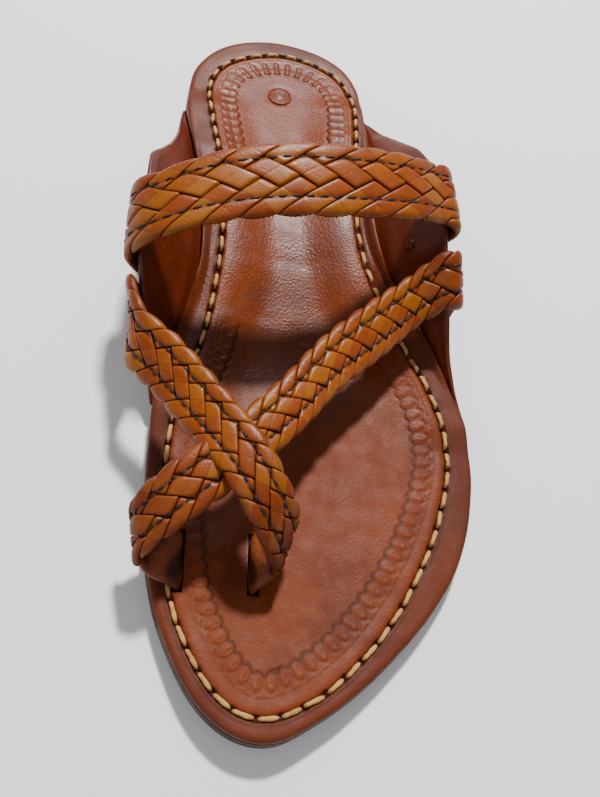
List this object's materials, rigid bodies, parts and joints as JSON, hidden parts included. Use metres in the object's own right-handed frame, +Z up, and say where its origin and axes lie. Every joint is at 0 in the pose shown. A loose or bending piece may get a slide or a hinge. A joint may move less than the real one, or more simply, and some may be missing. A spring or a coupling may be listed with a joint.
{
  "type": "kolhapuri sandal",
  "caption": "Flat leather sandal for the left foot with a plaited instep strap nailed round two side ears and plaited toe straps that cross and form a loop for the big toe",
  "frame": {"origin": "on the floor under the middle of the heel seat", "axes": "+X towards the outer side of the foot, -Y towards the toe, +Z up"},
  "size_m": [0.1176, 0.2655, 0.0674],
  "materials": {
    "heel_leather": "stacked leather, dark and smooth at the cut edge",
    "sole_leather": "thick bark-tanned leather, burnished dark edge",
    "insole_leather": "red-brown tooled leather, waxed, with soft creases and a sheen on its raised lines",
    "ear_leather": "smooth glossy dark red-brown leather",
    "strap_leather": "tan plaited leather strips with darker folded edges"
  },
  "bodies": {
    "root": {"heel": "heel_leather", "outsole": "sole_leather", "insole": "insole_leather", "ear_inner": "ear_leather", "ear_outer": "ear_leather", "instep_strap": "strap_leather", "toe_straps": "strap_leather"}
  },
  "joints": []
}
